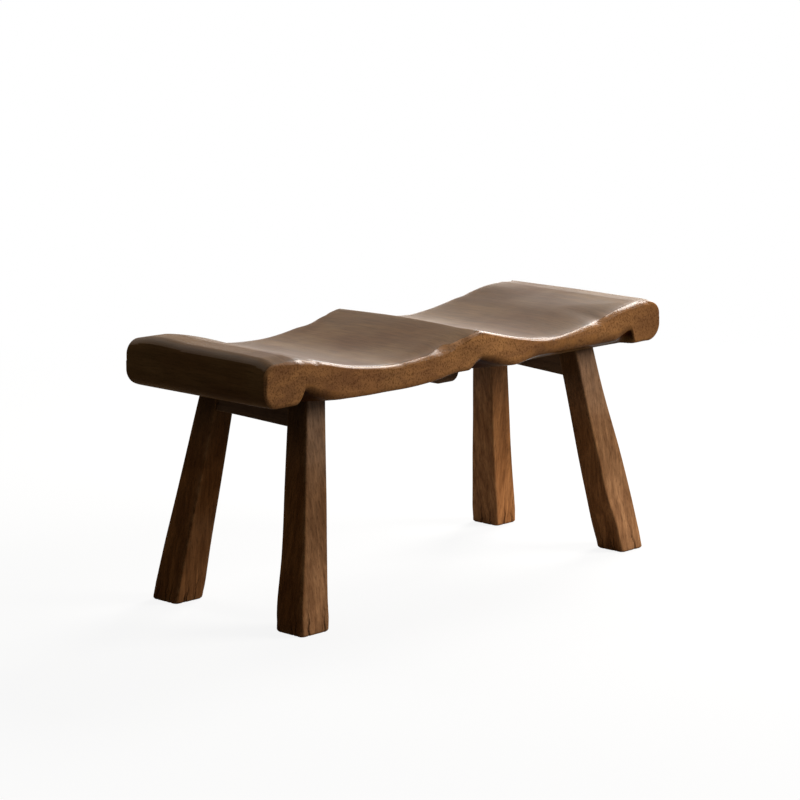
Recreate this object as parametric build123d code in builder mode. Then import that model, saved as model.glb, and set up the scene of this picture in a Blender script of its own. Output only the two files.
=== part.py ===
from build123d import *
import os

# Low wooden stool with a double-saddle seat. Millimetres, +Z up, floor at Z = 0.
# The origin is on the floor under the middle of the seat. X runs along the seat,
# -Y is the front long side.

os.makedirs("parts", exist_ok=True)

# seat plank: the blank
seat_length = 900
seat_depth = 308
leg_height = 344             # floor to the seat's flat underside
hollow_thickness = 37        # wood left under the lowest line of each saddle
saddle_depth = 34            # crest of the rolled ends above that line
nose_round = 33              # upper corner of the rolled ends
roll_round = 22              # lower corner of the rolled ends
edge_round = 6               # long edges of the seat, front and back

# the two saddles carved into the blank
crest_inset = 56             # end of the seat to the line where a saddle starts
ridge_front_fall = 6         # the crease between the saddles is as high as the crests in the
ridge_back_fall = 2          # middle of the seat and falls to the front and the back
left_back_lift = 2           # the hollows end this much shallower at the back
right_back_lift = 4
left_hollow_share = 0.462    # lowest line, as a share of the way from the crease to the crest
right_hollow_share = 0.412
left_flank_share = 0.64      # where the outer flank is half way up, from hollow to crest
right_flank_share = 0.50
left_slope_share = 0.21      # slope of a saddle where it meets the crease
right_slope_share = 0.26

# carved lower edge of the seat, the same on the front and the back: a scoop starts as a
# steep bank, peaks, then fades out along the edge
left_bank_inset = 55         # end of the seat to the foot of the bank beside the rolled end
right_bank_inset = 49
left_peak_inset = 82
right_peak_inset = 79
left_peak_rise = 22
right_peak_rise = 29
left_fade_run = 120          # from the peak to where the scoop has died out
right_fade_run = 76
fade_bow_share = 0.12        # how hollow a fading side is
right_bow_share = -0.20      # the one at the right end is full instead
middle_peak_offset = 11      # from the middle of the seat to the peak under the crease
middle_peak_rise = 25
middle_bank_run = 150        # the bank under the crease rises slowly, then steeply
middle_bank_rise = 10
middle_fade_run = 112
middle_reach = 48            # how far in under the seat this scoop would run at the highest rise
lip_rise = 12                # the right bay's edge stays this far above the underside
lip_start_rise = 6
lip_start_offset = 100       # from the middle of the seat
lip_full_offset = 170
lip_reach = 28               # bevel that carries the lip back to the underside
scoop_reach = 34             # how far in under the seat the highest scoop runs
belly_gap = 4                # the left bay's underside bellies down, from beside the legs' heads
belly_entry_run = 26         # it drops fast at first
belly_entry_drop = 2.2
belly_drop = 5.2
belly_low_offset = 160       # from the middle of the seat
belly_end_offset = 38

# legs
head_width = 38              # square section at the seat's underside
foot_width = 54              # square section at the floor
head_inset_x = 123           # end of the seat to the outer face of a leg's head
head_inset_y = 40            # long side of the seat to the outer face of a leg's head
spread_x = 67                # how far a foot stands out from its head, along the seat
spread_y = 52                # and across it
leg_round = 2.5              # long edges of a leg
foot_chamfer = 2             # edges of its foot

# mortise and tenon joints
tenon_shoulder = 7           # shoulder around the square tenon on a leg's head
tenon_length = 28
fit_clearance = 0.3          # around a tenon
end_clearance = 2            # past the end of a tenon

# aprons, one between the two legs of each end
left_apron_back = 45         # height of an apron at its back leg
left_apron_front = 49        # and at its front leg: the lower edges aren't quite level
right_apron_back = 43
right_apron_front = 53
apron_outer_set = 3          # set in from the outer faces of the legs
apron_inner_set = 2          # and from their inner faces
stub_shoulder = 9            # shoulders above, below and beside the stub tenons
stub_length = 18

# centre batten under the crease
batten_width = 46
batten_inset = 64            # from the long sides of the seat
batten_drop = 24             # below the underside
batten_housing = 6           # let into the underside
batten_round = 9

overrun = 5                  # how far a cutter passes the face it cuts

half_length = seat_length / 2
half_depth = seat_depth / 2
hollow_z = leg_height + hollow_thickness
crest_z = hollow_z + saddle_depth
crest_x = half_length - crest_inset
head_x = half_length - head_inset_x
head_y = half_depth - head_inset_y
lean_share = spread_x / leg_height

# sections of the joints where they cross the underside, shared by tenons and mortises
tenon_inner = head_x - head_width + tenon_shoulder
tenon_outer = head_x - tenon_shoulder
tenon_y = head_y - head_width / 2
tenon_width = head_width - 2 * tenon_shoulder
tenon_top = leg_height + tenon_length
apron_inner = head_x - head_width + apron_inner_set
apron_outer = head_x - apron_outer_set
stub_inner = apron_inner + stub_shoulder
stub_outer = apron_outer - stub_shoulder
stub_top = leg_height - stub_shoulder


def leg_width_at(z):
    return foot_width + (head_width - foot_width) * z / leg_height


def leg_outer_x_at(z):
    return head_x + spread_x * (1 - z / leg_height)


def leg_outer_y_at(z):
    return head_y + spread_y * (1 - z / leg_height)


def leg_inner_x_at(z):
    return leg_outer_x_at(z) - leg_width_at(z)


def leg_inner_y_at(z):
    return leg_outer_y_at(z) - leg_width_at(z)


def stub_bottom(back, front):
    """Lower edge of an apron's stub tenons, the same at both ends."""
    return leg_height - min(back, front) + stub_shoulder


def leaning_bar(side, inner, outer, low, high):
    """Front view of a bar that leans with the legs: the X of its two faces where they cross
    the underside, and the heights of its ends."""
    low_shift = lean_share * (leg_height - low)
    high_shift = lean_share * (leg_height - high)
    Polyline(
        (side * (outer + low_shift), low),
        (side * (outer + high_shift), high),
        (side * (inner + high_shift), high),
        (side * (inner + low_shift), low),
        close=True,
    )


def saddle_line(side, hollow_share, flank_share, slope_share, lift, ridge_z):
    """Top line of one saddle, from its crest through the hollow to the crease."""
    hollow_x = crest_x * hollow_share
    flank_x = hollow_x + (crest_x - hollow_x) * flank_share
    hollow = (side * hollow_x, hollow_z + lift)
    flank = (side * flank_x, (hollow_z + lift + crest_z) / 2)
    Spline((side * crest_x, crest_z), flank, hollow, tangents=[(-side, 0), (-side, 0)])
    Spline(hollow, (0, ridge_z), tangents=[(-side, 0), (-side, slope_share)])


def carving_line(left_lift, right_lift, ridge_fall):
    """Closed outline of the wood carved off the top of the blank."""
    ridge_z = crest_z - ridge_fall
    saddle_line(-1, left_hollow_share, left_flank_share, left_slope_share, left_lift, ridge_z)
    saddle_line(1, right_hollow_share, right_flank_share, right_slope_share, right_lift, ridge_z)
    high = crest_z + overrun
    Polyline((crest_x, crest_z), (crest_x, high), (-crest_x, high), (-crest_x, crest_z))


def scoop_line(sides, shift):
    """Closed outline of a scoop; each side is a smooth run of (x, rise above the underside)."""
    base = leg_height + shift
    for side in sides:
        Spline([(x, base + rise) for x, rise in side])
    first_x, first_rise = sides[0][0]
    last_x, last_rise = sides[-1][-1]
    low = base - 2 * overrun
    Polyline((last_x, base + last_rise), (last_x, low), (first_x, low), (first_x, base + first_rise))


def fading(start, end, bow_share):
    """Fading side of a scoop: its two ends and a point off the middle of their chord."""
    rise = (start[1] + end[1]) / 2 - abs(start[1] - end[1]) * bow_share / 2
    return [start, ((start[0] + end[0]) / 2, rise), end]


left_foot = (left_bank_inset - half_length, -overrun)
left_peak = (left_peak_inset - half_length, left_peak_rise)
left_end = (left_peak[0] + left_fade_run, -overrun)
left_scoop = [[left_foot, left_peak], fading(left_peak, left_end, fade_bow_share)]

middle_start = (middle_peak_offset - middle_bank_run, -overrun)
middle_turn = (-middle_peak_offset, middle_bank_rise)
middle_peak = (middle_peak_offset, middle_peak_rise)
middle_end = (middle_peak_offset + middle_fade_run, -overrun)
middle_scoop = [
    [middle_start, middle_turn],
    [middle_turn, middle_peak],
    fading(middle_peak, middle_end, fade_bow_share),
]

right_peak = (half_length - right_peak_inset, right_peak_rise)
right_foot = (half_length - right_bank_inset, -overrun)
right_end = (right_peak[0] - right_fade_run, -overrun)
right_scoop = [fading(right_end, right_peak, right_bow_share), [right_peak, right_foot]]

belly_start = (head_width + belly_gap - head_x, leg_height)
belly_entry = (belly_start[0] + belly_entry_run, leg_height - belly_entry_drop)
belly_low = (-belly_low_offset, leg_height - belly_drop)
belly_end = (-belly_end_offset, leg_height)

lip_start = (lip_start_offset, lip_start_rise)
lip_full = (lip_full_offset, lip_rise)
lip_bevel = [
    [(middle_peak_offset, -overrun), lip_start],
    [lip_start, lip_full],
    [lip_full, (right_peak[0], lip_rise)],
]

# seat plank
with BuildPart() as seat_plank:
    # the blank, with rounded ends
    with BuildSketch(Plane.XZ) as blank:
        with Locations((0, (leg_height + crest_z) / 2)):
            Rectangle(seat_length, crest_z - leg_height)
        fillet(blank.vertices().group_by(Axis.Y)[-1], nose_round)
        fillet(blank.vertices().group_by(Axis.Y)[0], roll_round)
        with BuildLine():
            Spline(belly_start, belly_entry, belly_low, belly_end, tangents=[(1, 0), (1, 0)])
            Line(belly_end, belly_start)
        make_face()
    extrude(amount=half_depth, both=True)
    # the saddles, lofted from the front face through the middle to the back face
    for y, left_lift, right_lift, ridge_fall in (
        (-half_depth - overrun, 0, 0, ridge_front_fall),
        (0, left_back_lift / 2, right_back_lift / 2, 0),
        (half_depth + overrun, left_back_lift, right_back_lift, ridge_back_fall),
    ):
        with BuildSketch(Plane.XZ.offset(-y)):
            with BuildLine():
                carving_line(left_lift, right_lift, ridge_fall)
            make_face()
    loft(mode=Mode.SUBTRACT)
    fillet(seat_plank.faces().filter_by(Axis.Y).edges(), edge_round)
    # the scoops: an outline on the long face sinks as it runs in under the seat
    scoops = [
        (left_scoop, right_peak_rise, scoop_reach),
        (middle_scoop, right_peak_rise, middle_reach),
        (right_scoop, right_peak_rise, scoop_reach),
        (lip_bevel, lip_rise, lip_reach),
    ]
    for face_side in (-1, 1):
        for sides, sink, reach in scoops:
            for y, shift in ((half_depth + overrun, sink * overrun / reach), (half_depth - reach, -sink)):
                with BuildSketch(Plane.XZ.offset(-face_side * y)):
                    with BuildLine():
                        scoop_line(sides, shift)
                    make_face()
            loft(mode=Mode.SUBTRACT)
    # sockets for the four leg tenons, leaning with the legs
    for side in (-1, 1):
        for y in (-tenon_y, tenon_y):
            with BuildSketch(Plane.XZ.offset(y)):
                with BuildLine():
                    leaning_bar(
                        side,
                        tenon_inner - fit_clearance,
                        tenon_outer + fit_clearance,
                        leg_height - overrun,
                        tenon_top + end_clearance,
                    )
                make_face()
            extrude(amount=tenon_width / 2 + fit_clearance, both=True, mode=Mode.SUBTRACT)
    # housing for the batten
    with BuildSketch(Plane.XY.offset(leg_height - overrun)):
        Rectangle(batten_width + 2 * fit_clearance, seat_depth - 2 * batten_inset + 2 * fit_clearance)
    extrude(amount=overrun + batten_housing, mode=Mode.SUBTRACT)


# legs

def make_leg(name, side, end, apron_back, apron_front):
    with BuildPart() as leg:
        # front view, then side view: four flat tapering faces
        with BuildSketch(Plane.XZ):
            with BuildLine():
                Polyline(
                    (side * leg_outer_x_at(0), 0),
                    (side * leg_outer_x_at(leg_height), leg_height),
                    (side * leg_inner_x_at(leg_height), leg_height),
                    (side * leg_inner_x_at(0), 0),
                    close=True,
                )
            make_face()
        extrude(amount=leg_outer_y_at(0) + overrun, both=True)
        with BuildSketch(Plane.YZ):
            with BuildLine():
                Polyline(
                    (end * leg_outer_y_at(0), 0),
                    (end * leg_outer_y_at(leg_height), leg_height),
                    (end * leg_inner_y_at(leg_height), leg_height),
                    (end * leg_inner_y_at(0), 0),
                    close=True,
                )
            make_face()
        extrude(amount=leg_outer_x_at(0) + overrun, both=True, mode=Mode.INTERSECT)
        chamfer(leg.faces().sort_by(Axis.Z)[0].edges(), foot_chamfer)
        long_edges = leg.edges().sort_by(SortBy.LENGTH)[-4:]
        fillet(long_edges, leg_round)
        # tenon on the head, in line with the leg's lean along the seat
        with BuildSketch(Plane.XZ.offset(-end * tenon_y)):
            with BuildLine():
                leaning_bar(side, tenon_inner, tenon_outer, leg_height, tenon_top)
            make_face()
        extrude(amount=tenon_width / 2, both=True)
        # mortise for the apron's stub tenon, open to the other leg of this end
        low = stub_bottom(apron_back, apron_front)
        mouth_y = leg_inner_y_at(stub_top) - overrun
        deep_y = leg_inner_y_at(low) + stub_length + end_clearance
        with BuildSketch(Plane.XZ.offset(-end * (mouth_y + deep_y) / 2)):
            with BuildLine():
                leaning_bar(
                    side,
                    stub_inner - fit_clearance,
                    stub_outer + fit_clearance,
                    low - fit_clearance,
                    stub_top + fit_clearance,
                )
            make_face()
        extrude(amount=(deep_y - mouth_y) / 2, both=True, mode=Mode.SUBTRACT)
    leg.part.label = name
    export_step(leg.part, "parts/" + name + ".step")


make_leg("leg_front_left", -1, -1, left_apron_back, left_apron_front)
make_leg("leg_front_right", 1, -1, right_apron_back, right_apron_front)
make_leg("leg_back_left", -1, 1, left_apron_back, left_apron_front)
make_leg("leg_back_right", 1, 1, right_apron_back, right_apron_front)


# aprons

def make_apron(name, side, back, front):
    with BuildPart() as apron:
        with BuildSketch(Plane.XZ):
            with BuildLine():
                leaning_bar(
                    side,
                    apron_inner,
                    apron_outer,
                    leg_height - max(back, front) - overrun,
                    leg_height,
                )
            make_face()
        extrude(amount=head_y, both=True)
        # side view: its ends lie on the legs' inner faces, its lower edge runs from leg to leg
        with BuildSketch(Plane.YZ):
            with BuildLine():
                Polyline(
                    (leg_inner_y_at(leg_height), leg_height),
                    (leg_inner_y_at(leg_height - back), leg_height - back),
                    (-leg_inner_y_at(leg_height - front), leg_height - front),
                    (-leg_inner_y_at(leg_height), leg_height),
                    close=True,
                )
            make_face()
        extrude(amount=half_length, both=True, mode=Mode.INTERSECT)
        # stub tenons into both legs
        with BuildSketch(Plane.XZ):
            with BuildLine():
                leaning_bar(side, stub_inner, stub_outer, stub_bottom(back, front), stub_top)
            make_face()
        extrude(amount=leg_inner_y_at(stub_bottom(back, front)) + stub_length, both=True)
    apron.part.label = name
    export_step(apron.part, "parts/" + name + ".step")


make_apron("apron_left", -1, left_apron_back, left_apron_front)
make_apron("apron_right", 1, right_apron_back, right_apron_front)

# centre batten
with BuildPart() as centre_batten:
    with BuildSketch(Plane.XY.offset(leg_height - batten_drop)):
        Rectangle(batten_width, seat_depth - 2 * batten_inset)
    extrude(amount=batten_drop + batten_housing)
    fillet(centre_batten.faces().sort_by(Axis.Z)[0].edges(), batten_round)

seat_plank.part.label = "seat_plank"
centre_batten.part.label = "centre_batten"
export_step(seat_plank.part, "parts/seat_plank.step")
export_step(centre_batten.part, "parts/centre_batten.step")
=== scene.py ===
import math
from functools import partial

import bmesh
import bpy
import numpy as np
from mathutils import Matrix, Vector, noise


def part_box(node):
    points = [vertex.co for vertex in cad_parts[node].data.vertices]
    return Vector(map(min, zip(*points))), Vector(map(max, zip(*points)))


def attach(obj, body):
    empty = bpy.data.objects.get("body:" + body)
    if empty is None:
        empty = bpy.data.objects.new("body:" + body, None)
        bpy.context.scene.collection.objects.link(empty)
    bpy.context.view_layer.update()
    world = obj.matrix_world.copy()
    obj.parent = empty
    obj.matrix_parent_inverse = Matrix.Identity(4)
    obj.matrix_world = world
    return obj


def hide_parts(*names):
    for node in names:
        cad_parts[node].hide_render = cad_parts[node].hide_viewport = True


# Low double-saddle stool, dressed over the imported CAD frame. Metres, +Z up, floor at Z = 0,
# X along the seat, -Y the front long side. Lengths are written times MM, and are plain
# millimetres where a comment or docstring says so.

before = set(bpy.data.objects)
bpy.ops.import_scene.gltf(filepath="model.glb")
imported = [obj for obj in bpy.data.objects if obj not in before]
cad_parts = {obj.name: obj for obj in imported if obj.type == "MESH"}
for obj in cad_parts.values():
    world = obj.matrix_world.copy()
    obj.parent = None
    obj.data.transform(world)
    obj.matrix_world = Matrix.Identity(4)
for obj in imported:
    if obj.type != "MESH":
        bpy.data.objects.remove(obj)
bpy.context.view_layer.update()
MM = 0.001

seat_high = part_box("seat_plank")[1]
half_length = seat_high.x
half_depth = seat_high.y
crest_z = seat_high.z
underside = 344 * MM

# Shaping helpers


def smooth(t):
    t = np.clip(t, 0, 1)
    return t * t * (3 - 2 * t)


def bump(x, centre, reach):
    """1 at the centre, falling smoothly to 0 at the reach on either side; all in MM."""
    return smooth(1 - np.abs(x / MM - centre) / reach)


def plateau(x, start, end, ramp):
    """1 from start to end, falling smoothly to 0 over the ramp beyond each; all in MM."""
    return smooth((x / MM - start) / ramp + 1) * smooth((end - x / MM) / ramp + 1)


def curve(x, places, values, slopes):
    """Cubic curve through values at places, with the given slopes; level beyond the ends."""
    places, values, slopes = (np.asarray(a, float) for a in (places, values, slopes))
    i = np.clip(np.searchsorted(places, x) - 1, 0, len(places) - 2)
    width = places[i + 1] - places[i]
    t = np.clip((x - places[i]) / width, 0, 1)
    return ((2 * t**3 - 3 * t**2 + 1) * values[i] + (t**3 - 2 * t**2 + t) * width * slopes[i]
            + (3 * t**2 - 2 * t**3) * values[i + 1] + (t**3 - t**2) * width * slopes[i + 1])


def through(x, *points):
    """Smooth curve through (place, value) points in MM; x and the result are in metres."""
    places, values = np.array(points, float).T * MM
    slopes = np.zeros(len(places))
    slopes[1:-1] = (values[2:] - values[:-2]) / (places[2:] - places[:-2])
    return curve(x, places, values, slopes)


def wander(x, y, z, size, seed):
    """Smooth random value in about -1..1 at each point; size is the width of its waves in MM."""
    size = size * MM
    places = np.broadcast_arrays(x / size + seed, y / size - seed, z / size)
    places = np.stack([np.ravel(c) for c in places], 1)
    values = np.array([noise.noise(Vector(place)) for place in places.tolist()])
    return values.reshape(np.broadcast(x, y, z).shape)


weld = 0.02 * MM


def loft(name, rings, marks, close_ends, sharp=40):
    """Mesh over closed rings of points, shape (rings, points, 3). marks are named values
    per point, kept as attributes for the materials. Edges past sharp degrees stay crisp."""
    count, size = rings.shape[:2]
    at = np.arange(count * size).reshape(count, size)
    beside = np.roll(at, -1, axis=1)
    faces = np.stack([at[:-1], beside[:-1], beside[1:], at[1:]], -1).reshape(-1, 4).tolist()
    if close_ends:
        faces += [at[0, ::-1].tolist(), at[-1].tolist()]
    mesh = bpy.data.meshes.new(name)
    mesh.from_pydata(rings.reshape(-1, 3).tolist(), [], faces)
    for mark, values in marks.items():
        layer = mesh.attributes.new(mark, "FLOAT", "POINT")
        layer.data.foreach_set("value", np.ravel(values).astype(np.float32))
    work = bmesh.new()
    work.from_mesh(mesh)
    bmesh.ops.remove_doubles(work, verts=work.verts, dist=weld)
    bmesh.ops.dissolve_degenerate(work, dist=weld, edges=work.edges)
    bmesh.ops.triangulate(work, faces=[f for f in work.faces if len(f.verts) > 4])
    bmesh.ops.recalc_face_normals(work, faces=work.faces)
    work.to_mesh(mesh)
    work.free()
    mesh.validate()
    mesh.polygons.foreach_set("use_smooth", [True] * len(mesh.polygons))
    mesh.set_sharp_from_angle(angle=math.radians(sharp))
    piece = bpy.data.objects.new(name, mesh)
    bpy.context.scene.collection.objects.link(piece)
    return piece


# Seat plank

crest_x = half_length - 56 * MM
end_rounds = {-1: (23 * MM, 25 * MM), 1: (27 * MM, 28 * MM)}     # upper and lower corner
end_mid_z = underside + 38 * MM
hollow_z = underside + 37 * MM
ridge_soft = 2.2 * MM
crest_slope = 4              # share of the rise per metre: the flank meets the crest in a soft line
flank_ease = 0.75            # steepness of the flanks: below 1 they stay gentle at their middles
crease_turn = 9 * MM         # the crease's front end turns this far to the right
# each saddle: where its hollow bottoms out, as a share of the way to the crest, where its
# flank is steepest, as a share of the rest of the way, and its slope at the crease
left_saddle, right_saddle = (0.462, 0.64, 0.21), (0.412, 0.50, 0.26)
top_waver, face_waver = 0.4 * MM, 0.7 * MM       # hand-worked unevenness
swell = 4 * MM               # of the front face under the crease

# how far the top falls away at its front edge: places along X and falls, in millimetres
front_fall = ((-404, 7), (-362, 7), (-341, 5), (-299, 3), (-235, 2.2), (-170, 4), (-147, 2.7),
              (-103, 4.5), (-66, 4.8), (-35, 3.2), (-8, 0.5), (95, 0.2), (146, 2.8), (194, 5.8),
              (243, 7.8), (275, 9.4), (300, 12), (320, 8.6), (346, 4.4), (372, 3.2), (398, 3.6),
              (432, 4.2))
# the left end is crowned, more so towards its back: places along Y and heights, in millimetres
left_crown = ((-15, 0), (42, 0.9), (82, 4), (108, 4.5), (123, 3.6), (139, 1.3), (154, -0.5))
# lower edge of the left bay, in millimetres along X: how far it bellies down between the legs,
# with the slopes, and how much further a strip along the long faces hangs by the left legs
belly_places, belly_drops, belly_slopes = (-285, -259, -160, -38), (0, 2.2, 5.2, 0), (0, 0.07, 0, 0)
strip_drop = ((-366, 0), (-338, 4.2), (-300, 4.7), (-280, 4), (-259, 2.4), (-234, 1.4), (-190, 0))
strip_reach = 34 * MM


def saddle_top(x, lift, ridge_z, hollow_share, flank_share, slope):
    """Height of one saddle at a distance x from the crease, from crease to crest."""
    hollow_x = crest_x * hollow_share
    flank_x = hollow_x + (crest_x - hollow_x) * flank_share
    low = hollow_z + lift
    t = np.clip(x / hollow_x, 0, 1)
    inner = (ridge_z * (2 * t**3 - 3 * t**2 + 1) - slope * hollow_x * (t**3 - 2 * t**2 + t)
             + low * (3 * t**2 - 2 * t**3))
    inner_run, outer_run = flank_x - hollow_x, crest_x - flank_x
    flank_slope = flank_ease * (outer_run / inner_run + inner_run / outer_run) / (inner_run + outer_run)
    share = curve(x, (hollow_x, flank_x, crest_x), (0, 0.5, 1), (0, flank_slope, crest_slope))
    return np.where(x < hollow_x, inner, low + (crest_z - low) * share)


def worn_front(x):
    """How far the top falls away at its front edge, and how far in that reaches."""
    broad = smooth((x / MM + 40) / 180) * smooth((390 - x / MM) / 90)
    reach = 34 * MM + 66 * MM * broad - 10 * MM * smooth((x / MM - 330) / 60)
    return through(x, *front_fall), reach


def seat_top(x, y):
    """Height of the seat's top, without the rounding of its edges."""
    across = y / half_depth
    ridge_z = crest_z - np.where(across < 0, 6 * np.abs(across) ** 1.3, 2 * across**2) * MM
    from_crease = x - crease_turn * smooth((-across - 0.7) / 0.3)
    away = np.sqrt(from_crease**2 + ridge_soft**2)
    left = saddle_top(away, (1 + across) * MM, ridge_z, *left_saddle)
    right = saddle_top(away, 2 * (1 + across) * MM, ridge_z, *right_saddle)
    z = left + (right - left) * (0.5 + 0.5 * from_crease / away)
    crown = 3.7 * MM * (1 - across**2) + through(y, *left_crown)
    z = z + crown * smooth((-x / MM - 230) / 150)
    # the right end rises early along its back edge and sinks towards its front
    z = z + 3.8 * MM * smooth((across - 0.2) / 0.7) * bump(x, 355, 66)
    z = z - 2.2 * MM * smooth((0.5 - across) / 1.6) * smooth((x / MM - 300) / 90)
    fall, reach = worn_front(x)
    return z - fall * np.clip(1 - (half_depth + y) / reach, 0, 1) ** 1.7


def scoop(x, peak, rise, bank, bank_power, fade, fade_power):
    """Rise of one scoop along the edge: a bank on one side of its peak, a fade on the other.
    A negative bank or fade width lies towards -X."""
    from_peak = x / MM - peak
    on_bank = from_peak * bank > 0
    t = np.clip(1 - from_peak / np.where(on_bank, bank, fade), 0, 1)
    return rise * MM * t ** np.where(on_bank, bank_power, fade_power)


def seat_bottom(x, y):
    """Height of the seat's underside, with the scoops that run in from both long faces."""
    inward = half_depth - np.abs(y)
    # rise of each scoop's roof for every step inwards
    steep, middling, lip_bevel, deep = 29 / 34, 29 / 48, 12 / 22, 26 / 24
    left = scoop(x, -369, 22.5, -34, 3.4, 112, 1.3) - steep * inward
    run_in = 6 * MM * smooth((x / MM + 100) / 62) * smooth((60 - x / MM) / 40) - 0.25 * inward
    step = 21.5 * MM * smooth((x / MM + 27) / 40)
    middle = np.where(x < 13 * MM, step, scoop(x, 13, 21.5, -1, 1, 95, 1.15)) - middling * inward
    past = np.maximum(0, x / MM - 371)
    wall = 26 * MM / (1 + (past / 11.4) ** 6)
    right = np.where(past > 0, wall, scoop(x, 371, 26, 1, 1, -64, 0.9)) - deep * inward
    lip = 12.5 * MM * plateau(x, 165, 352, 95) * (x < 371 * MM) - lip_bevel * inward
    # the highest of them at each point, with soft lines where two of them meet
    soft = 1.1 * MM
    stack = np.array([left, run_in, middle, right, lip, np.zeros_like(left)]) / soft
    stack = np.exp(np.clip(stack, -60, 60))
    z = underside + soft * np.log(stack.sum(axis=0)) - soft * math.log(2) * np.exp(-stack[:5].max(axis=0))
    belly = curve(x / MM, belly_places, belly_drops, belly_slopes) * MM
    return z - belly - through(x, *strip_drop) * smooth(1 - inward / strip_reach)


def end_profile(side, steps):
    """Outline of a rolled end from its middle to the straight part, for the upper and the
    lower half: distances past its start, heights, and the outward normals."""
    halves = []
    reach = max(end_rounds[side])
    for up, bend, far_z in zip((1, -1), end_rounds[side], (crest_z, underside)):
        straight, quarter, flat = abs(far_z - end_mid_z) - bend, bend * math.pi / 2, reach - bend
        s = np.linspace(0, straight + quarter + flat, steps, endpoint=False)
        turn = np.clip((s - straight) / bend, 0, math.pi / 2)
        over = np.maximum(0, s - straight - quarter)
        halves.append(np.stack([flat - over + bend * np.cos(turn),
                                end_mid_z + up * (np.minimum(s, straight) + bend * np.sin(turn)),
                                np.cos(turn), up * np.sin(turn)], 1))
    return halves


def top_rounding(x):
    """Width (inwards), height (down) and flatness (1 round, 2 a straight bevel) of the rounding
    of the top edges. It is planed broader beside the crease, flat in a few short facets, and
    tight at both ends."""
    dull = plateau(x, -60, -32, 14)
    facets = bump(x, -72, 30) + 0.4 * bump(x, 296, 22) + 0.4 * bump(x, -374, 14) + 0.5 * bump(x, -346, 12)
    polished = plateau(x, 20, 165, 25) + plateau(x, 325, 425, 22)
    left_end = smooth((-x / MM - 392) / 30)
    right_end = smooth((x / MM - 430) / 15)
    width = 6.2 + 2.6 * dull + 7 * facets + 2 * polished - 2 * left_end - 3.8 * right_end
    height = 3.3 + 3.2 * dull * (1 - facets) + 2 * facets + 0.5 * polished + left_end - 0.9 * right_end
    return width * MM, height * MM, 1.45 + 0.5 * np.minimum(1, facets)


def bottom_rounding(x):
    """The same for the bottom edges; the right bay is undercut by a broad bevel."""
    undercut = plateau(x, 150, 300, 75)
    notches = plateau(x, -352, -325, 24) + bump(x, 34, 56)
    banks = bump(x, -384, 30) + bump(x, 388, 30)
    width, height = ((6.2 + k * undercut + 2.2 * notches - 3 * banks) * MM for k in (3.5, 9.5))
    end = smooth((np.abs(x) / MM - 392) / 25)
    top_width, top_height, _ = top_rounding(x)
    return width + (top_width - width) * end, height + (top_height - height) * end


def end_start(side):
    """X where a rolled end begins."""
    return side * (half_length - max(end_rounds[side]))


def seat_points(side, base, flat_z, place, y, sink):
    """Points along y on the seat's top or underside, sunk a little. place is X on the straight
    part, whose side is 0, and one row of end_profile on an end."""
    if side == 0:
        up = np.sign(flat_z - end_mid_z)
        return np.stack([np.full_like(y, place), y, base(place, y) - up * sink], 1)
    past, height, normal_x, normal_z = place
    start = end_start(side)
    z = height + (base(start, y) - flat_z) * abs(normal_z)
    return np.stack([start + side * (past - normal_x * sink), y, z - normal_z * sink], 1)


# rings along the seat, and the points of one: over the top, down a face, under, round an edge
straight_rings, end_rings = 440, 28
top_count, face_count, bottom_count, edge_count = 92, 24, 84, 9


def ring_values(*parts):
    """One value for each point of a ring, from the top, top edge, face, bottom edge and
    underside. The back repeats the front."""
    counts = (top_count, edge_count, face_count, edge_count, bottom_count)
    parts = [np.broadcast_to(part, count) for part, count in zip(parts, counts)]
    return np.concatenate(parts + [part[::-1] for part in parts[3:0:-1]])


def near_ends(places, size, reach):
    """1 at both ends of a run of places from 0 to 1, fading over the reach, in MM like size."""
    return np.exp(-np.minimum(places, places[::-1]) * size / reach)


def seat_marks(x, y, z, across_top, down, across_bottom):
    """Wear, end grain, and dirt with painted shade at each point, for the materials."""
    depth, face_height = 2 * half_depth / MM, 60
    worn = ring_values(near_ends(across_top, depth, 6), 1, 0.5 * near_ends(down, face_height, 4), 1,
                       near_ends(across_bottom, depth, 6))
    on_face = ring_values(0, 0.8, 1, 0.8, 0)
    lower = ring_values(0, 0, 0, np.linspace(0, 1, edge_count), 1)
    upper = ring_values(0, 1, 0, 0, 0)
    # painted shade with some dirt gathers in the scoops, less on the rolled ends, and most in the notches
    at_end = smooth((np.abs(x) / MM - 405) / 20)
    grime_and_shade = smooth((z - underside) / (16 * MM)) * smooth((hollow_z - z) / ((6 + 30 * at_end) * MM))
    grime_and_shade = grime_and_shade * lower**3 * (1 - 0.3 * at_end)
    # a painted shadow along the low part of the right bay's front face
    bay_shade = plateau(x, 235, 300, 70) * smooth((370 - z / MM) / 14) * on_face * (y < 0)
    notches = bump(x, -356, 62) + bump(x, 24, 62) + 0.7 * bump(x, 360, 30)
    grime_and_shade = np.maximum(np.maximum(grime_and_shade, 0.42 * bay_shade), 0.9 * lower * notches)
    # the arris left of the crease is blunt and dull, and the left end and the back are rubbed less
    blunt = plateau(x, -46, -12, 16)
    worn = worn * smooth((x / MM + 408) / 26) * (1 - 0.8 * blunt) * (1 - 0.6 * (y > 0))
    return {"wear": worn, "face": np.maximum(on_face, upper * blunt), "grime_and_shade": grime_and_shade}


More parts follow.
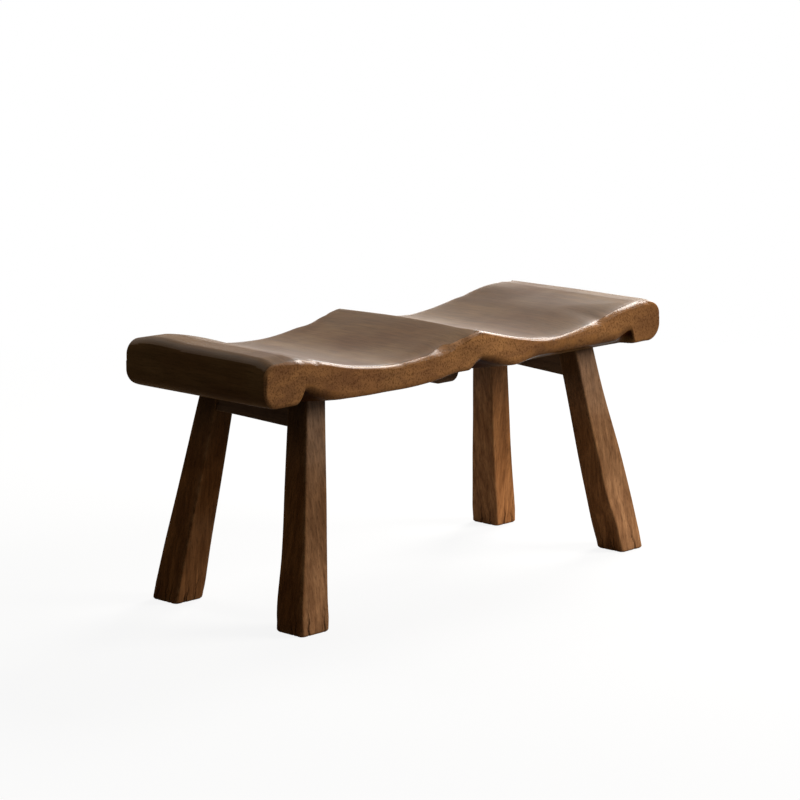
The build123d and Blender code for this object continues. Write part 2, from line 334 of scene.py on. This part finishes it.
def build_seat():
    turn = np.linspace(0, math.pi / 2, edge_count + 1)[1:]
    across_top = np.linspace(0, 1, top_count)
    spread = np.linspace(0, 1, bottom_count)
    across_bottom = spread - 0.11 * np.sin(2 * math.pi * spread)     # denser near the long faces
    down = np.linspace(0, 1, face_count + 2)[1:-1]

    # for each ring its side, and its places on the top and on the underside
    left, right = (list(zip(*end_profile(side, end_rings))) for side in (-1, 1))
    columns = [(-1, *pair) for pair in left]
    columns += [(0, x, x) for x in np.linspace(end_start(-1), end_start(1), straight_rings)]
    columns += [(1, *pair) for pair in right[::-1]]

    rings = []
    for side, above, below in columns:
        top = partial(seat_points, side, seat_top, crest_z, above)
        bottom = partial(seat_points, side, seat_bottom, underside, below)
        x = above if side == 0 else side * half_length
        width_t, height_t, flat = top_rounding(x)
        width_b, height_b = bottom_rounding(x)
        inset_t, sink_t = width_t * (1 - np.sin(turn) ** flat), height_t * (1 - np.cos(turn) ** flat)
        inset_b, sink_b = width_b * (1 - np.sin(turn)), height_b * (1 - np.cos(turn))
        # from the back's top edge over the top, down the front, under and up the back
        y = (1 - 2 * across_top) * (half_depth - width_t)
        ring = [top(y, 0 * y), top(inset_t - half_depth, sink_t)]
        front_bottom = bottom(inset_b[::-1] - half_depth, sink_b[::-1])
        ring += [ring[-1][-1] + down[:, None] * (front_bottom[0] - ring[-1][-1]), front_bottom]
        y = (2 * across_bottom - 1) * (half_depth - width_b)
        ring += [bottom(y, 0 * y), bottom(half_depth - inset_b, sink_b)]
        back_top = top(half_depth - inset_t[::-1], sink_t[::-1])
        ring += [ring[-1][-1] + down[:, None] * (back_top[0] - ring[-1][-1]), back_top]
        rings.append(np.concatenate(ring))
    points = np.array(rings)
    points[0, :, 2] = points[-1, :, 2] = end_mid_z
    x, y, z = points[..., 0], points[..., 1], points[..., 2]
    high = smooth((z / MM - 352) / 10)
    before_end = smooth((half_length - np.abs(x)) / (40 * MM))
    points[..., 2] += top_waver * wander(x, y, z, 95, 3) * before_end * high
    near_face = smooth((np.abs(y) / half_depth - 0.9) / 0.1)
    points[..., 1] += face_waver * wander(x, y, z, 60, 8) * near_face
    near_front = smooth((-y / half_depth - 0.9) / 0.1)
    points[..., 1] -= swell * bump(x, 4, 60) * near_front * smooth((z / MM - 356) / 34)
    marks = seat_marks(x, y, z, across_top, down, across_bottom)
    return loft("seat_carved", points, marks, False, 60)


seat = build_seat()

# Legs

head_width, foot_width = 38 * MM, 54 * MM
head_x, head_y = half_length - 123 * MM, half_depth - 40 * MM
spread_x, spread_y = 67 * MM, 52 * MM
tenon_half, tenon_length = 12 * MM, 28 * MM
lean_share = spread_x / underside
# heights of a leg's rings in millimetres, closer towards the foot: from, to and how many
leg_rings = ((0, 6, 9), (7, 80, 56), (82, 344, 70))
splits_per_face = 3
leg_arris, foot_arris = 3.4 * MM, 5.9 * MM
tool_depth, fibre_depth, split_depth = 0.55 * MM, 0.5 * MM, 1.7 * MM


def unit_square(per_side):
    """Outline of the square from -1 to 1, as points from corner to corner."""
    s = np.linspace(-1, 1, per_side, endpoint=False)
    one = np.ones(per_side)
    return np.concatenate([np.stack(pair, 1) for pair in ((s, -one), (one, s), (-s, one), (-one, -s))])


def rounded_rings(square, half_u, half_v, radius):
    """Rings of a rounded rectangle, one for each value of its half widths and radius."""
    half = np.stack([half_u, half_v], -1)[:, None, :]
    radius = np.asarray(radius)[:, None, None]
    place = square[None] * half
    core = np.clip(place, radius - half, half - radius)
    away = place - core
    length = np.linalg.norm(away, axis=2, keepdims=True)
    return core + away / np.maximum(length, 1e-9) * np.where(length > 0, radius, 0)


def leg_outer(z):
    """Outer faces of a leg, from the middle of the stool, and its width, at a height."""
    drop = 1 - z / underside
    return head_x + spread_x * drop, head_y + spread_y * drop, head_width + (foot_width - head_width) * drop


def build_leg(name, side, end, seed, face_lights, *strays):
    """One hewn leg. Each of strays is a height and how far the leg's -X, -Y, +X and +Y faces
    stand out from the CAD's flat ones there, in MM. The four tones paint light and shade on
    these faces: how much lighter or darker each is drawn."""
    z = np.concatenate([np.linspace(*run) for run in leg_rings]) * MM
    outer_x, outer_y, width = leg_outer(z)
    rows = sorted(strays)
    left, front, right, back = (through(z, *[(row[0], row[k]) for row in rows]) for k in (1, 2, 3, 4))
    low_x = np.minimum(side * outer_x, side * (outer_x - width)) - left
    high_x = np.maximum(side * outer_x, side * (outer_x - width)) + right
    low_y = np.minimum(end * outer_y, end * (outer_y - width)) - front
    high_y = np.maximum(end * outer_y, end * (outer_y - width)) + back
    # the foot's own edge is worn round
    foot_in = 2.4 * MM * np.maximum(0, 1 - z / (4 * MM)) ** 2
    square = unit_square(56)
    ring = rounded_rings(square, (high_x - low_x) / 2 - foot_in, (high_y - low_y) / 2 - foot_in,
                         leg_arris + (foot_arris - leg_arris) * smooth(1 - z / (30 * MM)))
    middle = np.stack([(low_x + high_x) / 2, (low_y + high_y) / 2], -1)[:, None, :]
    points = np.concatenate([ring + middle, np.broadcast_to(z[:, None, None], ring.shape[:2] + (1,))], 2)
    x, y, height = points[..., 0], points[..., 1], points[..., 2]
    out = ring / np.linalg.norm(ring, axis=2, keepdims=True)
    # tool marks, fibres that open towards the foot, and a few splits
    slow = wander(x, y, height * 0.3, 34, seed)
    fibre = wander(x, y, height * 0.03, 3.4, seed + 4)
    opened = np.clip(0.5 - 3 * np.abs(fibre), 0, 1) * smooth(1 - height / (90 * MM))
    chance = np.random.default_rng(seed)
    around = np.arange(len(square)) / len(square) * 4        # a face for each unit, the front first
    split = np.zeros_like(x)
    for face in range(4):
        for _ in range(splits_per_face):
            place = face + chance.uniform(0.15, 0.85)
            tall, wide = chance.uniform(22, 85) * MM, chance.uniform(0.022, 0.04)
            lean = chance.uniform(-0.1, 0.1)
            run = smooth(1 - height / tall)
            wiggle = place + lean * height / tall + 0.02 * np.sin(height / MM * 0.25 + 9 * place)
            split = np.maximum(split, run * np.clip(1 - np.abs(around[None] - wiggle) / wide, 0, 1))
    depth = tool_depth * slow - fibre_depth * opened - split_depth * split
    points[..., :2] += out * depth[..., None]
    # marks for the materials; each face's own painted light and shade fades into the next one's at the
    # arris
    corner = np.min([np.abs(around - k) for k in range(5)], axis=0)[None]
    worn = np.maximum(np.exp(-corner / 0.07) * np.ones_like(x), np.exp(-height / (3 * MM)))
    middles = np.array([[0.5], [1.5], [2.5], [3.5]])
    weight = np.clip(0.5 + 4 * (0.5 - np.abs((around[None] - middles + 2) % 4 - 2)), 0, 1)
    on_front, on_right, on_back, on_left = weight / weight.sum(axis=0)
    light_and_shade = face_lights[1] * on_front + face_lights[2] * on_right + face_lights[3] * on_back + face_lights[0] * on_left
    # painted light: the front faces drawn lighter towards the foot
    light_and_shade = light_and_shade * (1 + 0.75 * on_front * smooth(1.1 - height / (170 * MM)))
    # painted shade: the left faces drawn darker towards the head, under the seat
    light_and_shade = light_and_shade * (1 - 0.55 * on_left * smooth((height / MM - 230) / 90))
    # painted shade: a deeper, redder tint on the left faces, on the back legs' fronts, and wherever a face
    # is drawn darker
    shade_tint = on_left * min(1, 1 / face_lights[0] ** 2) + 0.6 * on_front * (end > 0)
    shade_tint = np.maximum(shade_tint, smooth((0.85 - light_and_shade) / 0.3))
    # painted shade darkens the head of the leg under the seat; the splits are dark cracks
    grime_and_shade = np.maximum(split, smooth((height / MM - 322) / 24) * 0.5)
    # the head's shoulder and its tenon, in line with the leg's lean along the seat
    centre = np.array([side * (head_x - head_width / 2), end * (head_y - head_width / 2)])
    tenon = centre + square * tenon_half
    lean = np.array([-side * lean_share * tenon_length, 0])
    extra = [np.column_stack([tenon, np.full(len(square), underside)]),
             np.column_stack([tenon + lean, np.full(len(square), underside + tenon_length)])]
    points = np.concatenate([points, extra])
    marks = {key: np.concatenate([np.broadcast_to(value, x.shape), np.zeros((2, len(square)))])
             for key, value in (("wear", worn), ("grime_and_shade", grime_and_shade), ("shade_tint", shade_tint))}
    marks["light_and_shade"] = np.concatenate([np.broadcast_to(light_and_shade, x.shape), np.ones((2, len(square)))])
    return loft(name, points, marks, True)


legs = {
    "leg_front_left": build_leg(
        "leg_hewn_front_left", -1, -1, 11, (0.7, 1.05, 1, 1),
        (340, 2, 0, 0, 2), (215, 1, 1, 0.5, 1), (110, 0, 1.5, 1, -0.5), (45, 1.5, 2, 1.5, 1),
        (9, 1.2, 3.3, 2.6, 0.5)),
    "leg_front_right": build_leg(
        "leg_hewn_front_right", 1, -1, 23, (1.2, 1.1, 1, 1),
        (335, 6.5, -1.7, 1, 4), (250, 6.5, -1.5, 2.2, 1), (165, 6, 0.3, 6, 0), (100, 5.5, 1, 7, -3),
        (47, -1, 3, 4.5, 0.5), (10, -2.2, 3.3, 3.7, -1.8)),
    "leg_back_left": build_leg(
        "leg_hewn_back_left", -1, 1, 37, (0.65, 0.55, 1, 1),
        (340, 1.4, 0.4, 0, 1.2), (200, 1.4, 1.1, 0.9, 1.2), (90, 1.4, 1.6, 1.4, 1.2),
        (15, 1, 2.6, 2.5, 1)),
    "leg_back_right": build_leg(
        "leg_hewn_back_right", 1, 1, 41, (1.7, 1.2, 1, 1),
        (340, 2.5, 0, -0.3, 3.3), (195, 1.2, -0.6, -0.8, 3.1), (109, 0, 0, -1.3, 2.7),
        (37, -1.8, 1.9, -0.6, 3.6), (9, -1.8, 2.3, -0.8, 2.5)),
}

# Aprons and the centre batten

apron_inner, apron_outer = head_x - head_width + 2 * MM, head_x - 3 * MM
stub_shoulder, stub_length = 9 * MM, 18 * MM


def dull_marks(rings):
    size = rings.shape[1]
    corner = np.min([np.abs(np.arange(size) / size * 4 - k) for k in range(5)], axis=0)
    return {"wear": np.broadcast_to(0.6 * np.exp(-corner / 0.08), rings.shape[:2])}


def build_apron(name, side, back, front, seed):
    """An apron between the two legs of one end, with its stub tenons; back and front are its
    heights in MM."""
    square = unit_square(24)
    middle_x, half_x = (apron_inner + apron_outer) / 2, (apron_outer - apron_inner) / 2
    s = np.linspace(0, 1, 90)
    half_z = (back + (front - back) * s) * MM / 2
    ring = rounded_rings(square, np.full_like(s, half_x), half_z, np.full_like(s, 1.8 * MM))
    z = underside - half_z[:, None] + ring[..., 1]
    _, outer_y, width = leg_outer(z)
    y = (outer_y - width) * (1 - 2 * s[:, None])
    x = side * (middle_x + lean_share * (underside - z)) + ring[..., 0]
    rub = 0.5 * MM * wander(x, y * 0.2, z, 26, seed)
    rub_z = rub * np.sign(ring[..., 1]) * (z < underside - 10 * MM)
    points = np.stack([x + rub * np.sign(ring[..., 0]), y, z + rub_z], -1)
    stub_z = underside - stub_shoulder - (min(back, front) * MM - 2 * stub_shoulder) / 2
    z = stub_z + square[:, 1] * (min(back, front) * MM / 2 - stub_shoulder)
    x = side * (middle_x + lean_share * (underside - z)) + square[:, 0] * (half_x - stub_shoulder)
    _, outer_y, width = leg_outer(z)
    stubs = [np.stack([x, way * (outer_y - width + reach), z], -1)
             for way, reach in ((1, stub_length), (1, 0), (-1, 0), (-1, stub_length))]
    points = np.concatenate([stubs[:2], points, stubs[2:]])
    return loft(name, points, dull_marks(points), True)


def build_batten():
    """The batten under the crease, its lower edges rounded on all four sides."""
    half_x, half_y, round_z = 23 * MM, half_depth - 64 * MM, 9 * MM
    low, top = underside - 24 * MM, underside + 6 * MM
    longer_front = 3.5 * MM
    turn = np.linspace(0, math.pi / 2, 9)
    # stations along Y, from the back end to the front end, with the lower face's height at each
    y_end = half_y - round_z * (1 - np.cos(turn))
    z_end = low + round_z * (1 - np.sin(turn))
    run = np.linspace(half_y - round_z, round_z - half_y, 60)[1:-1]
    y = np.concatenate([y_end, run, -y_end[::-1]])
    bottom = np.concatenate([z_end, np.full(len(run), low), z_end[::-1]])
    y[-len(turn):] -= longer_front
    half_z = (top - bottom) / 2
    square = unit_square(28)
    ring = rounded_rings(square, np.full_like(y, half_x), half_z, np.minimum(round_z, half_z * 0.9))
    z = (top - half_z)[:, None] + ring[..., 1]
    x = ring[..., 0]
    # only the lower edges are round: the upper ones are let square into the seat
    crisp = np.minimum(np.abs(square[:, 0]) * (half_x + 3 * MM), half_x)
    x = np.where(z > top - round_z, np.sign(x) * np.maximum(np.abs(x), crisp), x)
    points = np.stack([x, np.broadcast_to(y[:, None], z.shape), z], -1)
    rub = 0.3 * MM * wander(x, points[..., 1] * 0.3, z, 20, 71)
    points[..., 2] += rub * smooth((underside - z) / (6 * MM))
    return loft("batten_rounded", points, dull_marks(points), True)


rails = {
    "apron_left": build_apron("apron_rubbed_left", -1, 45, 49, 51),
    "apron_right": build_apron("apron_rubbed_right", 1, 43, 53, 57),
    "centre_batten": build_batten(),
}

# Materials


class Nodes:
    """Short way to add and join the nodes of a material."""

    def __init__(self, name):
        self.material = bpy.data.materials.new(name)
        self.material.use_nodes = True
        self.tree = self.material.node_tree
        self.tree.nodes.clear()

    def add(self, kind, **settings):
        node = self.tree.nodes.new(kind)
        for key, value in settings.items():
            setattr(node, key, value)
        return node

    def set(self, socket, value):
        """Links the socket to an output, or sets it to a number or a colour."""
        if isinstance(value, bpy.types.NodeSocket):
            self.tree.links.new(value, socket)
        elif isinstance(value, tuple) and len(value) == 3 and len(socket.default_value) == 4:
            socket.default_value = (*value, 1)
        else:
            socket.default_value = value

    def coords(self, scale):
        """Object coordinates, stretched by the scale."""
        source = self.add("ShaderNodeTexCoord").outputs["Object"]
        mapping = self.add("ShaderNodeMapping")
        self.set(mapping.inputs["Scale"], scale)
        self.set(mapping.inputs["Vector"], source)
        return mapping.outputs["Vector"]

    def noise(self, vector, scale, detail=3.0, rough=0.55, warp=0.0):
        node = self.add("ShaderNodeTexNoise")
        for key, value in (("Vector", vector), ("Scale", scale), ("Detail", detail), ("Roughness", rough),
                           ("Distortion", warp)):
            self.set(node.inputs[key], value)
        return node.outputs["Fac"]

    def mark(self, name):
        return self.add("ShaderNodeAttribute", attribute_name=name).outputs["Fac"]

    def remap(self, value, low, high, to_low=0.0, to_high=1.0):
        node = self.add("ShaderNodeMapRange")
        for key, number in (("Value", value), ("From Min", low), ("From Max", high), ("To Min", to_low),
                            ("To Max", to_high)):
            self.set(node.inputs[key], number)
        return node.outputs["Result"]

    def math(self, operation, a, b):
        node = self.add("ShaderNodeMath", operation=operation)
        self.set(node.inputs[0], a)
        self.set(node.inputs[1], b)
        return node.outputs[0]

    def times(self, a, b):
        return self.math("MULTIPLY", a, b)

    def mix(self, factor, a, b, blend="MIX"):
        node = self.add("ShaderNodeMix", data_type="RGBA", blend_type=blend)
        for name, value in (("Factor", factor), ("A", a), ("B", b)):
            self.set(next(s for s in node.inputs if s.name == name and s.enabled), value)
        return next(s for s in node.outputs if s.enabled)

    def grey(self, value):
        node = self.add("ShaderNodeCombineColor")
        for socket in node.inputs:
            self.set(socket, value)
        return node.outputs[0]

    def out(self, surface):
        self.set(self.add("ShaderNodeOutputMaterial").inputs["Surface"], surface)
        return self.material


def srgb(red, green, blue):
    """Linear colour from 0..255 display values."""
    return tuple(c / 12.92 if c <= 0.04045 else ((c + 0.055) / 1.055) ** 2.4
                 for c in (v / 255 for v in (red, green, blue)))


wax_ior = 1.47
bump_depth = 0.5 * MM


def finish_wood(n, colour, rough, relief, gloss_level, strength=0.3):
    """Shader of stained wood from its colour, roughness and relief. The gloss levels are low,
    because the rays that it reflects meet a white room."""
    shader = n.add("ShaderNodeBsdfPrincipled")
    n.set(shader.inputs["Base Color"], colour)
    n.set(shader.inputs["Roughness"], rough)
    n.set(shader.inputs["IOR"], wax_ior)
    n.set(shader.inputs["Specular IOR Level"], gloss_level)
    bumps = n.add("ShaderNodeBump")
    n.set(bumps.inputs["Strength"], strength)
    n.set(bumps.inputs["Distance"], bump_depth)
    n.set(bumps.inputs["Height"], relief)
    n.set(shader.inputs["Normal"], bumps.outputs["Normal"])
    return n.out(shader.outputs[0])


def seat_material(name, gloss_level):
    """Stained seat: its fibres run from front to back, so the long faces show end grain."""
    n = Nodes(name)
    free, along = n.coords((1, 1, 1)), n.coords((1, 0.1, 1))
    cloud = n.noise(free, 6, 3, 0.55, 0.4)
    bands = n.noise(along, 22, 3, 0.5, 0.6)
    fibres = n.noise(along, 190, 3, 0.6)
    top = n.mix(n.remap(bands, 0.36, 0.64), srgb(88, 63, 36), srgb(106, 78, 46))
    top = n.mix(n.remap(cloud, 0.42, 0.64, 0, 0.75), top, srgb(80, 51, 27))
    place = n.add("ShaderNodeSeparateXYZ")
    n.set(place.inputs[0], free)
    # painted shade: the right hollow's outer flank is drawn darker
    flank_shade = n.times(n.remap(place.outputs["X"], 0.1, 0.3, 0, 0.5), n.remap(place.outputs["X"], 0.4, 0.36))
    top = n.mix(flank_shade, top, srgb(62, 43, 25))
    top = n.mix(1.0, top, n.grey(n.remap(fibres, 0.35, 0.65, 0.86, 1.1)), "MULTIPLY")
    dashes = n.remap(n.noise(n.coords((1, 0.06, 1)), 480, 2, 0.6), 0.56, 0.68)
    top = n.mix(n.times(dashes, 0.35), top, srgb(48, 30, 14))
    # end grain: warm, with dark pores
    pores = n.remap(n.noise(free, 330, 2, 0.6), 0.5, 0.66)
    specks = n.remap(n.noise(free, 170, 2, 0.7), 0.56, 0.7)
    rings = n.noise(n.coords((0.35, 1, 1)), 45, 3, 0.55, 0.8)
    end = n.mix(n.remap(rings, 0.35, 0.65), srgb(126, 88, 56), srgb(160, 114, 70))
    end = n.mix(n.remap(cloud, 0.42, 0.72, 0, 0.6), end, srgb(110, 70, 46))
    # painted shade: the end grain drawn darker towards the right end
    end = n.mix(n.remap(place.outputs["X"], 0.27, 0.43, 0, 0.8), end, srgb(100, 67, 40))
    end = n.mix(n.times(n.math("MAXIMUM", pores, specks), 0.62), end, srgb(66, 38, 18))
    face, wear, grime_and_shade = n.mark("face"), n.mark("wear"), n.mark("grime_and_shade")
    colour = n.mix(face, top, end)
    rubbed = n.times(wear, n.remap(n.noise(free, 40, 4, 0.6), 0.4, 0.62, 0, 0.55))
    colour = n.mix(rubbed, colour, srgb(140, 96, 54))
    # painted shade with some dirt in the scoops, the notches and the right bay's low face
    colour = n.mix(n.times(grime_and_shade, 0.98), colour, srgb(40, 14, 2))
    rough = n.math("ADD", n.remap(cloud, 0.3, 0.7, 0.52, 0.6), n.times(face, 0.1))
    rough = n.math("SUBTRACT", rough, n.times(wear, 0.4))
    relief = n.math("ADD", n.times(fibres, 0.35), n.times(n.times(face, pores), -0.7))
    relief = n.math("ADD", relief, n.times(n.noise(along, 40, 2), 0.8))
    return finish_wood(n, colour, rough, relief, gloss_level)


def leg_material(gloss_level):
    """Stained legs: fibres along the leg, rubbed arrises, dark splits, and painted light, shade and sheen.
    """
    n = Nodes("leg_stained_wood")
    free, along = n.coords((1, 1, 1)), n.coords((1, 1, 0.045))
    cloud = n.noise(free, 11, 3, 0.6, 0.5)
    bands = n.noise(along, 75, 3, 0.55, 0.5)
    fibres = n.noise(along, 330, 3, 0.6)
    flecks = n.remap(n.noise(n.coords((1, 1, 0.16)), 420, 2, 0.6), 0.56, 0.68)
    colour = n.mix(n.remap(bands, 0.36, 0.64), srgb(106, 74, 49), srgb(137, 100, 69))
    colour = n.mix(n.remap(cloud, 0.45, 0.7, 0, 0.55), colour, srgb(86, 54, 30))
    place = n.add("ShaderNodeSeparateXYZ")
    n.set(place.inputs[0], free)
    # painted sheen: greyer towards the heads of the legs
    head_sheen = n.times(n.remap(place.outputs["Z"], 0.2, 0.33), n.remap(cloud, 0.3, 0.6, 0.9, 0.5))
    colour = n.mix(head_sheen, colour, srgb(112, 94, 80))
    colour = n.mix(1.0, colour, n.grey(n.remap(fibres, 0.34, 0.66, 0.78, 1.14)), "MULTIPLY")
    colour = n.mix(n.times(flecks, 0.4), colour, srgb(52, 30, 14))
    # painted light and shade, face by face
    colour = n.mix(1.0, colour, n.grey(n.mark("light_and_shade")), "MULTIPLY")
    # painted shade: deeper and redder on the left faces and the back legs' fronts
    colour = n.mix(1.0, colour, n.mix(n.mark("shade_tint"), (1, 1, 1), (1, 0.76, 0.46)), "MULTIPLY")
    wear, grime_and_shade = n.mark("wear"), n.mark("grime_and_shade")
    rubbed = n.times(wear, n.remap(n.noise(free, 55, 4, 0.6), 0.42, 0.62, 0, 0.5))
    colour = n.mix(rubbed, colour, srgb(150, 112, 74))
    # painted shade under the seat at the heads, and the dark splits
    colour = n.mix(n.times(grime_and_shade, 0.75), colour, srgb(30, 16, 8))
    rough = n.math("SUBTRACT", n.remap(cloud, 0.3, 0.7, 0.62, 0.74), n.times(wear, 0.15))
    relief = n.math("ADD", n.times(fibres, 0.8), n.times(flecks, -0.5))
    return finish_wood(n, colour, rough, relief, gloss_level, 0.45)


def rail_material(gloss_level):
    """Dull dark wood of the aprons and the batten."""
    n = Nodes("rail_stained_wood")
    free, along = n.coords((1, 1, 1)), n.coords((1, 0.05, 1))
    cloud = n.noise(free, 14, 3, 0.6, 0.5)
    fibres = n.noise(along, 260, 3, 0.6)
    colour = n.mix(n.remap(n.noise(along, 60, 3), 0.36, 0.64), srgb(84, 62, 46), srgb(98, 74, 54))
    colour = n.mix(n.remap(cloud, 0.42, 0.7, 0, 0.6), colour, srgb(58, 40, 28))
    colour = n.mix(1.0, colour, n.grey(n.remap(fibres, 0.34, 0.66, 0.8, 1.12)), "MULTIPLY")
    rubbed = n.times(n.mark("wear"), n.remap(n.noise(free, 50, 3), 0.4, 0.62, 0, 0.5))
    colour = n.mix(rubbed, colour, srgb(118, 88, 62))
    return finish_wood(n, colour, n.remap(cloud, 0.3, 0.7, 0.66, 0.78), fibres, gloss_level, 0.4)


def dress(piece, slot, node, *materials):
    piece.data.materials.clear()
    for material in materials:
        piece.data.materials.append(material)
    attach(piece, "root")
    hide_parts(node)


# only the top of the seat, where it faces up, is waxed: the rest was stained and left
waxed_gloss, plain_gloss, leg_gloss, rail_gloss = 0.09, 0.004, 0.01, 0.009
waxed_slope = 0.6
dress(seat, "seat_wood", "seat_plank", seat_material("seat_waxed_wood", waxed_gloss),
      seat_material("seat_plain_wood", plain_gloss))
plain = [int(face.normal.z < waxed_slope) for face in seat.data.polygons]
seat.data.polygons.foreach_set("material_index", plain)
leg_wood, rail_wood = leg_material(leg_gloss), rail_material(rail_gloss)
for node, piece in legs.items():
    dress(piece, "leg_wood", node, leg_wood)
for node, piece in rails.items():
    dress(piece, "rail_wood", node, rail_wood)

# Floor, light and camera


def seen_share(tree, new_math):
    """1 for rays that show the background: from the camera, and reflected or refracted."""
    path = tree.nodes.new("ShaderNodeLightPath")
    share = path.outputs["Is Camera Ray"]
    for kind in ("Is Glossy Ray", "Is Transmission Ray"):
        share = new_math("MAXIMUM", share, path.outputs[kind])
    return share


floor_reach = 14.0
floor_whitens = (0.9, 2.4)           # metres from the stool at which the shadow starts to go, and ends
floor_white = (0.88, 1.0)            # share of plain white nearer and further than that
corners = [(floor_reach * x, floor_reach * y, 0) for x, y in ((-1, -1), (1, -1), (1, 1), (-1, 1))]
floor_mesh = bpy.data.meshes.new("floor")
floor_mesh.from_pydata(corners, [], [(0, 1, 2, 3)])
floor = bpy.data.objects.new("floor", floor_mesh)
bpy.context.scene.collection.objects.link(floor)
f = Nodes("pale_floor")
pale = f.add("ShaderNodeBsdfDiffuse")
speckle = f.noise(f.coords((1, 1, 1)), 40, 4)
in_view = seen_share(f.tree, f.math)
bounce = f.mix(f.remap(speckle, 0.3, 0.7), (0.32, 0.31, 0.30), (0.35, 0.34, 0.33))
f.set(pale.inputs["Color"], f.mix(in_view, bounce, (0.9, 0.9, 0.9)))
white = f.add("ShaderNodeEmission")
radius = f.add("ShaderNodeVectorMath", operation="LENGTH")
f.set(radius.inputs[0], f.coords((1, 1, 1)))
# the floor runs out into plain white away from the stool, and keeps its shadow beside it
share = f.times(in_view, f.remap(radius.outputs["Value"], *floor_whitens, *floor_white))
blend = f.add("ShaderNodeMixShader")
for socket, value in zip(blend.inputs, (share, pale.outputs[0], white.outputs[0])):
    f.set(socket, value)
floor.data.materials.append(f.out(blend.outputs[0]))
f.material.cycles.emission_sampling = "NONE"

world = bpy.data.worlds.new("studio")
bpy.context.scene.world = world
world.use_nodes = True
tree = world.node_tree
tree.nodes.clear()


def world_math(operation, a, b):
    node = tree.nodes.new("ShaderNodeMath")
    node.operation = operation
    tree.links.new(a, node.inputs[0])
    tree.links.new(b, node.inputs[1])
    return node.outputs[0]


fill_level, seen_level = 0.11, 1.0   # brightness of the room as a light, and as it is seen
background = tree.nodes.new("ShaderNodeBackground")
level = tree.nodes.new("ShaderNodeMapRange")
level.inputs["To Min"].default_value = fill_level
level.inputs["To Max"].default_value = seen_level
tree.links.new(seen_share(tree, world_math), level.inputs["Value"])
tree.links.new(level.outputs["Result"], background.inputs["Strength"])
background.inputs["Color"].default_value = (1, 1, 1, 1)
tree.links.new(background.outputs[0], tree.nodes.new("ShaderNodeOutputWorld").inputs["Surface"])


lamp_target = Vector((0, 0, 0.3))


def soft_box(name, direction, distance, width, height, brightness, colour):
    """Rectangular lamp that faces the seat from a direction; brightness 1 looks white."""
    lamp = bpy.data.lights.new(name, "AREA")
    lamp.shape = "RECTANGLE"
    lamp.size, lamp.size_y = width, height
    lamp.energy = brightness * math.pi * width * height
    lamp.color = colour
    box = bpy.data.objects.new(name, lamp)
    away = Vector(direction).normalized()
    box.location = lamp_target + away * distance
    box.rotation_euler = (-away).to_track_quat("-Z", "Y").to_euler()
    bpy.context.scene.collection.objects.link(box)


warm_white, window_white = (1.0, 0.96, 0.90), (1.0, 0.97, 0.92)
soft_box("key_front_right", (0.62, -0.62, 0.48), 2.3, 1.1, 1.1, 14, warm_white)
soft_box("window_back_right", (0.74, 0.20, 0.64), 2.6, 0.9, 0.9, 22, window_white)
soft_box("low_window_back", (0.84, 0.53, 0.20), 3.0, 2.0, 0.7, 5.2, window_white)
soft_box("high_window_back", (-0.05, 0.68, 0.73), 3.0, 0.9, 0.8, 9, window_white)

# the camera fitted to the photograph: degrees down and to the right, and pixels
camera_place = (-3.15424, -3.02457, 1.09274)
camera_down, camera_right = 10.52, 46.09
focal_px, frame_px = 2795.25, 800
camera_data = bpy.data.cameras.new("camera")
camera = bpy.data.objects.new("camera", camera_data)
bpy.context.scene.collection.objects.link(camera)
camera.location = camera_place
camera.rotation_euler = (math.radians(90 - camera_down), 0, -math.radians(camera_right))
camera_data.sensor_width = 36
camera_data.lens = camera_data.sensor_width * focal_px / frame_px
camera_data.clip_end = 60
bpy.context.scene.camera = camera
bpy.context.scene.view_settings.view_transform = "Standard"
